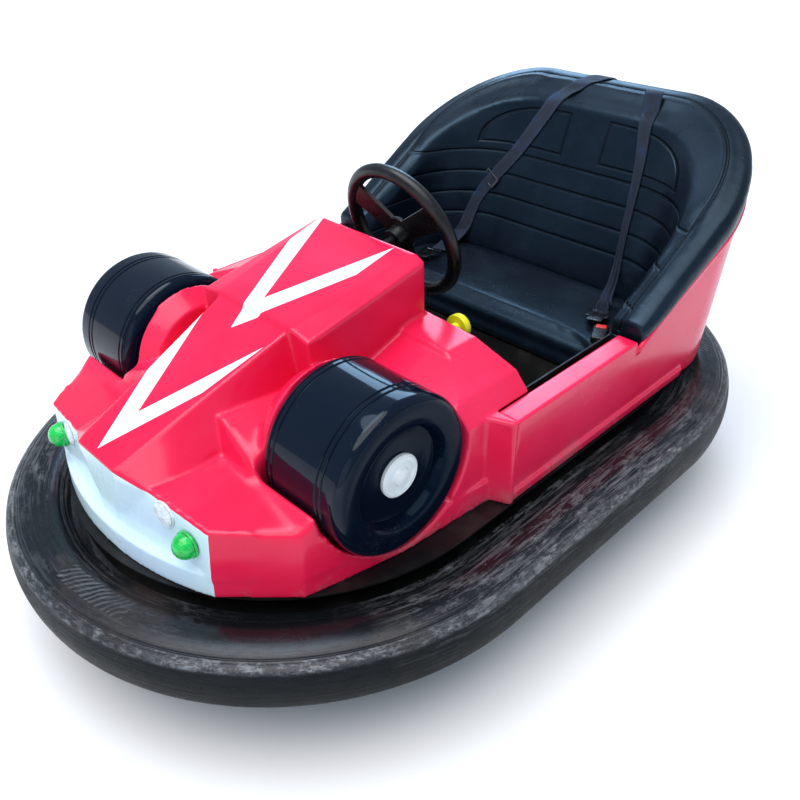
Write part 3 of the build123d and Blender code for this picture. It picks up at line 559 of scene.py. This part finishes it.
def arcThrough(first, middle, last, count):
    (ax, az), (bx, bz), (cx, cz) = first, middle, last
    d = 2 * (ax * (bz - cz) + bx * (cz - az) + cx * (az - bz))
    sums = [px * px + pz * pz for px, pz in (first, middle, last)]
    ox = (sums[0] * (bz - cz) + sums[1] * (cz - az) + sums[2] * (az - bz)) / d
    oz = (sums[0] * (cx - bx) + sums[1] * (ax - cx) + sums[2] * (bx - ax)) / d
    radius = ((ax - ox) ** 2 + (az - oz) ** 2) ** 0.5
    start, mid, end = (atan2(pz - oz, px - ox) for px, pz in (first, middle, last))
    turn = (end - start) % (2 * pi)
    if (mid - start) % (2 * pi) > turn:
        turn -= 2 * pi
    return [(ox + radius * cos(start + turn * i / count), oz + radius * sin(start + turn * i / count))
            for i in range(count)]


def tyreSection():
    t = tyreShape
    wall = arcThrough(t["crownStart"], t["crown"], t["shoulder"], 76)
    wall = [(rho, z - sum(t["lineDepth"] * exp(-((rho - line) / t["lineWidth"]) ** 2) for line in t["lines"]))
            for rho, z in wall]
    face = arcThrough(t["treadTop"], t["tread"], t["treadLow"], 14)
    belly = arcThrough(t["lowEdge"], t["belly"], t["bellyEnd"], 16)
    return [t["bead"], *wall, t["shoulder"], t["edge"], *face, t["treadLow"], *belly, t["bellyEnd"], t["beadLow"]]


def ringTyre():
    tyre = spun("ringTyre", tyreSection(), tyreShape["turnSteps"])
    half = tyreShape["halfStraight"]
    for vertex in tyre.data.vertices:      # the round ends move apart, and the ring between them is straight
        if abs(vertex.co.x) > 0.0004:
            vertex.co.x += half if vertex.co.x > 0 else -half
    return settle(tyre, finishes["bumper_rubber"], "bumper_rubber", "chassis", "bumper_tyre", angle=40)


ringTyre()


# mock wheels: a grooved drum with a dished face, spun about the axle

def spunWheel(side):
    radius, bottom = mockWheel["radius"], mockWheel["radius"] - mockWheel["grooveDeep"]
    (wide, narrow), (first, last) = mockWheel["grooveHalf"], mockWheel["drum"]
    section = [*mockWheel["inner"], (radius, first)]
    for along in mockWheel["grooves"]:
        section += [(radius, along - wide), (bottom, along - narrow), (bottom, along + narrow), (radius, along + wide)]
    section += [(radius, last), *mockWheel["outer"]]
    word = "left" if side > 0 else "right"
    wheel = spun("mockWheel" + word.title(), section, mockWheel["steps"])
    wheel.location = (mockWheel["x"], mockWheel["y"] * side, mockWheel["z"])
    wheel.rotation_euler = (radians(-90 * side), 0.0, 0.0)
    settle(wheel, finishes["gloss_black"], "gloss_black", "chassis", "mock_wheel_" + word, angle=32)


for side in (1, -1):
    spunWheel(side)


# padding: vinyl blown up over its foam by cloth

padding = {
    "seatCushion": {"nodes": ("seat_cushion",), "voxel": 0.008, "swell": 0.0005, "shrink": 0.0065,
                    "pressure": 4.0, "cap": 0.012, "stiff": 14.0, "calm": 2},
    "upholstery": {"nodes": ("backrest_pad", "rim_pad"), "voxel": 0.0085, "swell": 0.0035, "shrink": 0.0085,
                   "pressure": 3.0, "cap": 0.009, "stiff": 40.0, "calm": 6, "fold": (0.05, 0.14, 0.11)},
}
clothSteps = 20


def insideFace(point):
    return point.x < -0.26 and point.x > backPlane["x"] - (point.z - backPlane["z"]) * backPlane["lean"] - 0.24 and (
        abs(point.y) < 0.445)


tubForm = {"low": 0.300, "high": 0.900, "tail": (-0.775, -0.905), "half": (0.498, 0.525), "corner": (0.250, 0.320)}
crown = {"front": -0.250, "start": 0.540, "slope": 0.5573}


def insetFromTub(point):
    share = (point.z - tubForm["low"]) / (tubForm["high"] - tubForm["low"])
    tail, half, corner = (tubForm[key][0] + (tubForm[key][1] - tubForm[key][0]) * share
                          for key in ("tail", "half", "corner"))
    dx, dy = tail + corner - point.x, abs(point.y) - (half - corner)
    if dx <= 0:
        return half - abs(point.y)
    return point.x - tail if dy <= 0 else corner - (dx * dx + dy * dy) ** 0.5


def belowCrown(point):
    return crown["start"] + (crown["front"] - point.x) * crown["slope"] - point.z


def puffUp(name, material, held):
    settings = padding[name]
    piece = copyOf(name, *settings["nodes"])
    swell = piece.modifiers.new("swell", "DISPLACE")      # closes the seam between two pads
    swell.strength, swell.mid_level = settings["swell"], 0.0
    skin = piece.modifiers.new("skin", "REMESH")
    skin.mode, skin.voxel_size = "VOXEL", settings["voxel"]
    shrink = piece.modifiers.new("shrink", "DISPLACE")
    shrink.strength, shrink.mid_level = -settings["shrink"], 0.0
    even = piece.modifiers.new("even", "SMOOTH")
    even.factor, even.iterations = 0.5, 10
    applyAll(piece)
    start = [v.co.copy() for v in piece.data.vertices]
    pins = piece.vertex_groups.new(name="held")
    pins.add([v.index for v in piece.data.vertices if held(v.co)], 1.0, "REPLACE")
    cloth = piece.modifiers.new("cloth", "CLOTH")
    cloth.settings.use_pressure = True
    cloth.settings.uniform_pressure_force = settings["pressure"]
    cloth.settings.effector_weights.gravity = 0.0
    cloth.settings.vertex_group_mass = "held"
    cloth.settings.tension_stiffness = cloth.settings.compression_stiffness = settings["stiff"]
    cloth.point_cache.frame_start, cloth.point_cache.frame_end = 1, clothSteps
    for step in range(1, clothSteps + 1):
        bpy.context.scene.frame_set(step)
    blown = piece.evaluated_get(bpy.context.evaluated_depsgraph_get()).data
    ends = [v.co.copy() for v in blown.vertices]
    piece.modifiers.remove(cloth)
    bpy.context.scene.frame_set(1)
    for v, first, last in zip(piece.data.vertices, start, ends):
        step = last - first
        v.co = first + step * min(1.0, settings["cap"] / max(step.length, 1e-6))
    calm = piece.modifiers.new("calm", "SMOOTH")
    calm.factor, calm.iterations = 0.5, settings["calm"]
    if "fold" in settings:                 # the fold where the roll meets the shell
        near, far, low = settings["fold"]
        fold = piece.vertex_groups.new(name="fold")
        fold.add([v.index for v in piece.data.vertices if near < insetFromTub(v.co) < far and belowCrown(v.co) < low],
                 1.0, "REPLACE")
        ease = piece.modifiers.new("ease", "SMOOTH")
        ease.factor, ease.iterations, ease.vertex_group = 0.5, 14, "fold"
    finer = piece.modifiers.new("finer", "SUBSURF")
    finer.levels = finer.render_levels = 1
    applyAll(piece)
    return settle(piece, material, "black_vinyl", "chassis", *settings["nodes"])


def sewRoll(piece):
    inset = piece.data.attributes.new("inset", "FLOAT", "POINT")
    below = piece.data.attributes.new("below", "FLOAT", "POINT")
    normals = [v.normal.copy() for v in piece.data.vertices]
    for v, normal in zip(piece.data.vertices, normals):
        near, drop = insetFromTub(v.co), belowCrown(v.co)
        if drop < 0.07:
            v.co -= normal * rollSeam["depth"] * exp(-((near - rollSeam["inset"]) / rollSeam["width"]) ** 2)
        inset.data[v.index].value, below.data[v.index].value = near, drop


def sewChannels(piece):
    normals = [v.normal.copy() for v in piece.data.vertices]
    for v, normal in zip(piece.data.vertices, normals):
        if normal.x < 0.15 and abs(normal.y) < 0.5 or not insideFace(v.co):
            continue
        near = min(abs(v.co.z - height) for height in channels["heights"])
        v.co -= normal * channels["depth"] * exp(-(near / channels["width"]) ** 2)


def seatFoot(point):
    return point.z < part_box("seat_cushion")[0][2] + 0.02


seatCushion = puffUp("seatCushion", finishes["black_vinyl"], seatFoot)
upholstery = puffUp("upholstery", sewnVinyl, lambda point: False)
sewChannels(upholstery)
sewRoll(upholstery)
print("padding")


# belts: flat webbing laid along given points, with bands near the edges painted lighter as painted highlights

belts = {
    "webbingRight": {
        "node": "belt_right", "thick": 0.0022,
        "path": ((-0.868, -0.018, 0.690), (-0.883, -0.021, 0.745), (-0.891, -0.025, 0.790), (-0.886, -0.031, 0.825),
                 (-0.876, -0.038, 0.850), (-0.860, -0.052, 0.860), (-0.838, -0.072, 0.856), (-0.812, -0.093, 0.843),
                 (-0.782, -0.118, 0.826), (-0.744, -0.151, 0.768), (-0.704, -0.203, 0.670), (-0.668, -0.262, 0.583),
                 (-0.640, -0.300, 0.515), (-0.592, -0.308, 0.446), (-0.530, -0.300, 0.426), (-0.440, -0.276, 0.424)),
        "wide": (1, 1, 1, 1, 1, 1, 1, 0.98, 0.95, 0.95, 0.9, 0.85, 0.9, 0.95, 1, 1)},
    "webbingLeft": {
        "node": "belt_left", "thick": 0.0030,
        "path": ((-0.822, 0.140, 0.868), (-0.798, 0.149, 0.862), (-0.765, 0.164, 0.800), (-0.714, 0.187, 0.696),
                 (-0.656, 0.203, 0.553), (-0.618, 0.214, 0.474), (-0.580, 0.228, 0.436), (-0.520, 0.252, 0.426),
                 (-0.470, 0.278, 0.428), (-0.445, 0.290, 0.452), (-0.428, 0.296, 0.430), (-0.416, 0.300, 0.426)),
        "wide": (1, 0.98, 0.85, 0.62, 0.48, 0.48, 0.5, 0.62, 0.7, 0.62, 0.8, 0.95)},
}
# the belts lie flat below "seat" and above "roll", and hang straight behind the backrest
beltLay = {"width": 0.048, "fold": 0.016, "lift": 0.0030, "steps": 10, "across": 6, "seat": (0.53, 0.09),
           "roll": (0.80, 0.05), "behind": (-0.86, 0.85), "backrest": (0.93, 0.0, 0.37)}


def smoothRun(points, steps):
    ends = [points[0], *points, points[-1]]
    run = []
    for a, b, c, d in zip(ends, ends[1:], ends[2:], ends[3:]):
        for i in range(steps):
            t = i / steps
            run.append([0.5 * (2 * q + (r - p) * t + (2 * p - 5 * q + 4 * r - w) * t * t
                               + (3 * q - p - 3 * r + w) * t ** 3) for p, q, r, w in zip(a, b, c, d)])
    return run + [list(points[-1])]


def webbing(name, cushions):
    settings = belts[name]
    run = smoothRun([(*point, wide) for point, wide in zip(settings["path"], settings["wide"])], beltLay["steps"])
    across, (seatHigh, seatReach), (rollHigh, rollReach) = (beltLay[key] for key in ("across", "seat", "roll"))
    belt = fresh(name, bpy.ops.mesh.primitive_grid_add, x_subdivisions=across, y_subdivisions=len(run) - 1, size=1)
    for i, (x, y, z, wide) in enumerate(run):
        here, after, before = Vector((x, y, z)), run[min(i + 1, len(run) - 1)], run[max(i - 1, 0)]
        forward = (Vector(after[:3]) - Vector(before[:3])).normalized()
        lying = max(min(1.0, (seatHigh - z) / seatReach), min(1.0, (z - rollHigh) / rollReach), 0.0)
        facing = Vector(beltLay["backrest"]).lerp(Vector((0.0, 0.0, 1.0)), lying).normalized()
        sideways = facing.cross(forward).normalized()
        if x < beltLay["behind"][0] and z < beltLay["behind"][1]:
            sideways = Vector((0.0, 1.0, 0.0)) if sideways.y > 0 else Vector((0.0, -1.0, 0.0))
        if i and sideways.dot(lastSide) < 0:
            sideways = -sideways
        sideways = sideways if i == 0 else (sideways * 0.35 + lastSide * 0.65).normalized()
        lastSide = sideways
        out = forward.cross(sideways).normalized()
        for j in range(across + 1):
            u = j / across - 0.5
            fold = (1.0 - wide) * beltLay["fold"] * cos(u * 2 * pi * 1.5)
            spot = here + sideways * u * beltLay["width"] * wide + out * fold
            belt.data.vertices[i * (across + 1) + j].co = spot
    for cushion in cushions:
        lie = belt.modifiers.new("lie", "SHRINKWRAP")
        lie.target, lie.wrap_mode, lie.offset = cushion, "OUTSIDE", beltLay["lift"]
    thick = belt.modifiers.new("thick", "SOLIDIFY")
    thick.thickness, thick.offset = settings["thick"], 0.0
    finer = belt.modifiers.new("finer", "SUBSURF")
    finer.levels = finer.render_levels = 1
    applyAll(belt)
    editing(belt, pointOutwards)
    return settle(belt, webbingFinish, "webbing", "chassis", settings["node"])


def slotted(name, size, bars, holes, thick, place, forward, facing, material, slot, *nodes, blade=None):
    plate = fresh(name, bpy.ops.mesh.primitive_grid_add, x_subdivisions=len(bars) - 1, y_subdivisions=3, size=1)
    rows = (-0.5, -0.34, 0.34, 0.5)
    for vertex in plate.data.vertices:
        column, row = round((vertex.co.x + 0.5) * (len(bars) - 1)), round((vertex.co.y + 0.5) * 3)
        vertex.co = (bars[column] * size[0], rows[row] * size[1], 0.0)
    selectOnly(plate)
    bpy.ops.object.mode_set(mode="EDIT")
    bpy.ops.mesh.select_all(action="DESELECT")
    bpy.ops.object.mode_set(mode="OBJECT")
    for face in plate.data.polygons:
        middle = face.center
        face.select = abs(middle.y) < 0.1 * size[1] and any(
            bars[hole] * size[0] < middle.x < bars[hole + 1] * size[0] for hole in holes)
    bpy.ops.object.mode_set(mode="EDIT")
    bpy.ops.mesh.delete(type="FACE")
    bpy.ops.object.mode_set(mode="OBJECT")
    if blade:
        for edge in plate.data.edges:
            ends = [plate.data.vertices[i].co for i in edge.vertices]
            edge.select = all(co.x > bars[-1] * size[0] - 1e-5 for co in ends) and abs((ends[0] + ends[1]).y) < 1e-4
        bpy.ops.object.mode_set(mode="EDIT")
        bpy.ops.mesh.extrude_region_move(TRANSFORM_OT_translate={"value": (blade, 0, 0)})
        bpy.ops.object.mode_set(mode="OBJECT")
    solid = plate.modifiers.new("solid", "SOLIDIFY")
    solid.thickness, solid.offset = thick, 0.0
    soft = plate.modifiers.new("soft", "BEVEL")
    soft.width, soft.segments = thick * 0.3, 2
    applyAll(plate)
    ahead = Vector(forward).normalized()
    sideways = Vector(facing).cross(ahead).normalized()
    turn = Matrix((ahead, sideways, ahead.cross(sideways))).transposed()
    plate.location, plate.rotation_euler = place, turn.to_euler()
    return settle(plate, material, slot, "chassis", *nodes, angle=35)


buckleShape = {
    "place": (-0.322, 0.362, 0.432), "turn": 24,
    "body": {"size": (0.060, 0.039, 0.023), "offset": (0.0, 0.0, 0.0), "slim": 0.82, "round": 0.0045, "cuts": 4},
    "button": {"size": (0.016, 0.026, 0.008), "offset": (-0.0225, 0.0, 0.0095), "slim": 1.0, "round": 0.0022,
               "cuts": 3},
}


def buckleBlock(name, block, side):
    piece = fresh(name, bpy.ops.mesh.primitive_cube_add, size=1)
    (long, wide, high), (ahead, across, up) = block["size"], block["offset"]
    for vertex in piece.data.vertices:
        slim = block["slim"] if vertex.co.x > 0 else 1.0
        x, y, z = vertex.co.x * long, vertex.co.y * wide * slim, vertex.co.z * high * slim
        vertex.co = (x + ahead, y + across, z + up)
    soft = piece.modifiers.new("soft", "BEVEL")
    soft.width, soft.segments = block["round"], block["cuts"]
    applyAll(piece)
    x, y, z = buckleShape["place"]
    piece.location, piece.rotation_euler = (x, side * y, z), (0, 0, radians(side * buckleShape["turn"]))
    return piece


def buckle(side):
    word = "left" if side > 0 else "right"
    name = "buckle" + word.title()
    body = buckleBlock(name, buckleShape["body"], side)
    settle(body, finishes["grip_plastic"], "grip_plastic", "chassis", "belt_buckle_" + word)
    button = buckleBlock(name + "Button", buckleShape["button"], side)
    settle(button, buttonRed, "grip_plastic", "chassis")


for name in belts:
    webbing(name, (upholstery, seatCushion))
slotted("adjusterRight", (0.034, 0.058), (-0.5, -0.36, -0.07, 0.07, 0.36, 0.5), (1, 3), 0.0035,
        (-0.650, -0.266, 0.586), (0.33, -0.50, -0.80), (0.90, 0.10, 0.42), glossSteel, "webbing")
tongues = {
    "Left": (1, (-0.414, 0.298, 0.4310), (0.93, 0.34, 0.10)),
    "Right": (-1, (-0.404, -0.276, 0.4300), (0.98, 0.17, 0.06)),
}
for word, (side, spot, ahead) in tongues.items():
    slotted("tongue" + word, (0.046, 0.056), (-0.5, -0.32, -0.08, 0.18, 0.5), (1,), 0.0032, spot, ahead, (0, 0, 1),
            glossSteel, "axle_steel", "belt_tongue_" + word.lower(), blade=0.026)
    buckle(side)
print("belts")


# lamps: cut lenses on round bezels

lamps = {
    "headlamp": {"place": (0.7602, 0.177, 0.444), "radius": 0.026, "cuts": 3, "material": "clear_lens",
                 "flat": 0.22, "base": 0.004},
    "marker_lamp": {"place": (0.7542, 0.238, 0.409), "radius": 0.026, "cuts": 3, "material": "green_lens",
                    "flat": 1.0, "base": 0.008},
}
lampMount = {"aim": 7.5, "lift": 3.5, "glass": 0.985, "bezel": 0.99, "tube": 0.0022, "tall": 1.4, "sunk": 0.004}


def lens(kind, side):
    settings, word = lamps[kind], "left" if side > 0 else "right"
    glass = fresh(kind.replace("_lamp", "Lamp") + word.title(), bpy.ops.mesh.primitive_ico_sphere_add,
                  subdivisions=settings["cuts"], radius=settings["radius"] * lampMount["glass"])
    editing(glass, lambda: bpy.ops.mesh.bisect(plane_co=(0, 0, 0), plane_no=(0, 0, 1), clear_inner=True, use_fill=True))
    for vertex in glass.data.vertices:
        vertex.co.z = vertex.co.z * settings["flat"] + settings["base"] - 0.0005
    facet = glass.modifiers.new("facet", "BEVEL")
    facet.width, facet.segments, facet.limit_method = 0.0004, 1, "NONE"
    applyAll(glass)
    turn = (0, radians(90 - lampMount["lift"]), radians(lampMount["aim"] * side))
    x, y, z = settings["place"]
    glass.location, glass.rotation_euler = (x, y * side, z), turn
    settle(glass, lensFinish[settings["material"]], settings["material"], "chassis", kind + "_" + word, angle=4)
    bezel = fresh(glass.name + "Bezel", bpy.ops.mesh.primitive_torus_add, major_segments=48, minor_segments=10,
                  major_radius=settings["radius"] * lampMount["bezel"], minor_radius=lampMount["tube"])
    for vertex in bezel.data.vertices:
        vertex.co.z = vertex.co.z * lampMount["tall"] + settings["base"] - lampMount["sunk"]
    bezel.location, bezel.rotation_euler = (x, y * side, z), turn
    settle(bezel, lensFinish[settings["material"]], settings["material"], "chassis")


for kind in lamps:
    for side in (1, -1):
        lens(kind, side)


# screws that hold the moulding down on the angle ring

flangeScrews = {"count": 30, "rho": 0.4975, "high": 0.2955, "radius": 0.0062, "head": 0.0042, "taper": 0.72}


def alongFlange(at, rho, half):
    bow = pi * rho
    if at < bow or 2 * half < at - bow < bow + 2 * half:
        end, past = (1, at) if at < bow else (-1, at - 2 * half)
        angle = past / rho - pi / 2
        return half * end + rho * cos(angle), rho * sin(angle)
    if at < bow + 2 * half:
        return half - (at - bow), rho
    return -half + (at - 2 * bow - 2 * half), -rho


def flangeScrew():
    screw = fresh("flangeScrews", bpy.ops.mesh.primitive_cylinder_add, vertices=12, radius=flangeScrews["radius"],
                  depth=flangeScrews["head"])
    for vertex in screw.data.vertices:
        if vertex.co.z > 0:
            vertex.co.x, vertex.co.y = vertex.co.x * flangeScrews["taper"], vertex.co.y * flangeScrews["taper"]
        vertex.co.z += flangeScrews["head"] * 0.5
    rho, half, count = flangeScrews["rho"], tyreShape["halfStraight"], flangeScrews["count"]
    whole = 2 * (2 * half + pi * rho)
    copies = [alongFlange((i + 0.5) * whole / count, rho, half) for i in range(count)]
    pieces = []
    for x, y in copies:
        twin = bpy.data.objects.new("screw", screw.data.copy())
        bpy.context.scene.collection.objects.link(twin)
        twin.location = (x, y, flangeScrews["high"])
        pieces.append(twin)
    bpy.data.objects.remove(screw)
    bpy.ops.object.select_all(action="DESELECT")
    for twin in pieces:
        twin.select_set(True)
    bpy.context.view_layer.objects.active = pieces[0]
    bpy.ops.object.join()
    joined = bpy.context.object
    joined.name = "flangeScrews"
    settle(joined, finishes["black_steel"], "black_steel", "chassis", angle=30)


flangeScrew()
print("fittings")


# edges of the parts that come over from the CAD, broken and rounded

roundedParts = {"dash_panel": 0.001, "steering_wheel": 0.003, "push_button": 0.001, "steering_gearbox": 0.003}


def roundEdges(node, width):
    part = frame["nodes"][node]
    part.modifiers.new("merge", "WELD").merge_threshold = 0.00002
    flat = part.modifiers.new("flats", "DECIMATE")
    flat.decimate_type, flat.angle_limit = "DISSOLVE", radians(0.6)
    bevel = part.modifiers.new("rounding", "BEVEL")
    bevel.width, bevel.segments, bevel.limit_method, bevel.angle_limit = width, 3, "ANGLE", radians(14)


for node, width in roundedParts.items():
    roundEdges(node, width)
print("carried-over parts")


# studio

studioLights = {  # place, size, power, tint
    "overhead": ((0.6, -0.6, 3.5), 2.0, 34.0, (0.70, 0.85, 1.0)),
    "front": ((3.6, 1.4, 1.2), 3.0, 11.0, (1.0, 1.0, 1.0)),
    "back": ((-3.2, -2.4, 2.8), 2.2, 74.0, (0.42, 0.70, 1.0)),
}
sun = {"turn": (-3, 14, 0), "energy": 2.6, "angle": 60, "tint": (1.0, 0.94, 0.89)}
sky = {"tint": (0.64, 0.80, 1.0), "strength": 0.58}
cameraShape = {"place": (1.2373, 1.2922, 1.4451), "turn": (55.884, 1.319, 135.326), "lens": 37.795, "sensor": 36.0}


def studio():
    floor = fresh("studioFloor", bpy.ops.mesh.primitive_plane_add, size=60.0, location=(0.0, 0.0, 0.0))
    f = Finish("studioFloor")
    paint = f.mixed(f.noise(0.4, 2.0) * 0.3, (0.90, 0.90, 0.90), (0.86, 0.86, 0.87))
    floor.data.materials.append(f.surface(paint, 0.9))
    world = bpy.data.worlds.new("studio")
    world.use_nodes = True
    background = world.node_tree.nodes["Background"]
    background.inputs[0].default_value, background.inputs[1].default_value = (*sky["tint"], 1.0), sky["strength"]
    bpy.context.scene.world = world
    for name, (place, size, power, tint) in studioLights.items():
        bpy.ops.object.light_add(type="AREA", location=place)
        light = bpy.context.object
        light.name = name
        light.data.shape, light.data.size = "DISK", size
        light.data.energy, light.data.color = power, tint
        light.rotation_euler = (Vector((0.0, 0.0, 0.4)) - Vector(place)).to_track_quat("-Z", "Y").to_euler()
    bpy.ops.object.light_add(type="SUN", location=(0.0, 0.0, 4.0), rotation=[radians(a) for a in sun["turn"]])
    light = bpy.context.object.data
    light.energy, light.angle, light.color = sun["energy"], radians(sun["angle"]), sun["tint"]
    bpy.ops.object.camera_add(location=cameraShape["place"], rotation=[radians(a) for a in cameraShape["turn"]])
    camera = bpy.context.object
    camera.data.lens, camera.data.sensor_width = cameraShape["lens"], cameraShape["sensor"]
    bpy.context.scene.camera = camera
    bpy.context.scene.view_settings.view_transform = "Standard"


studio()
print("studio")
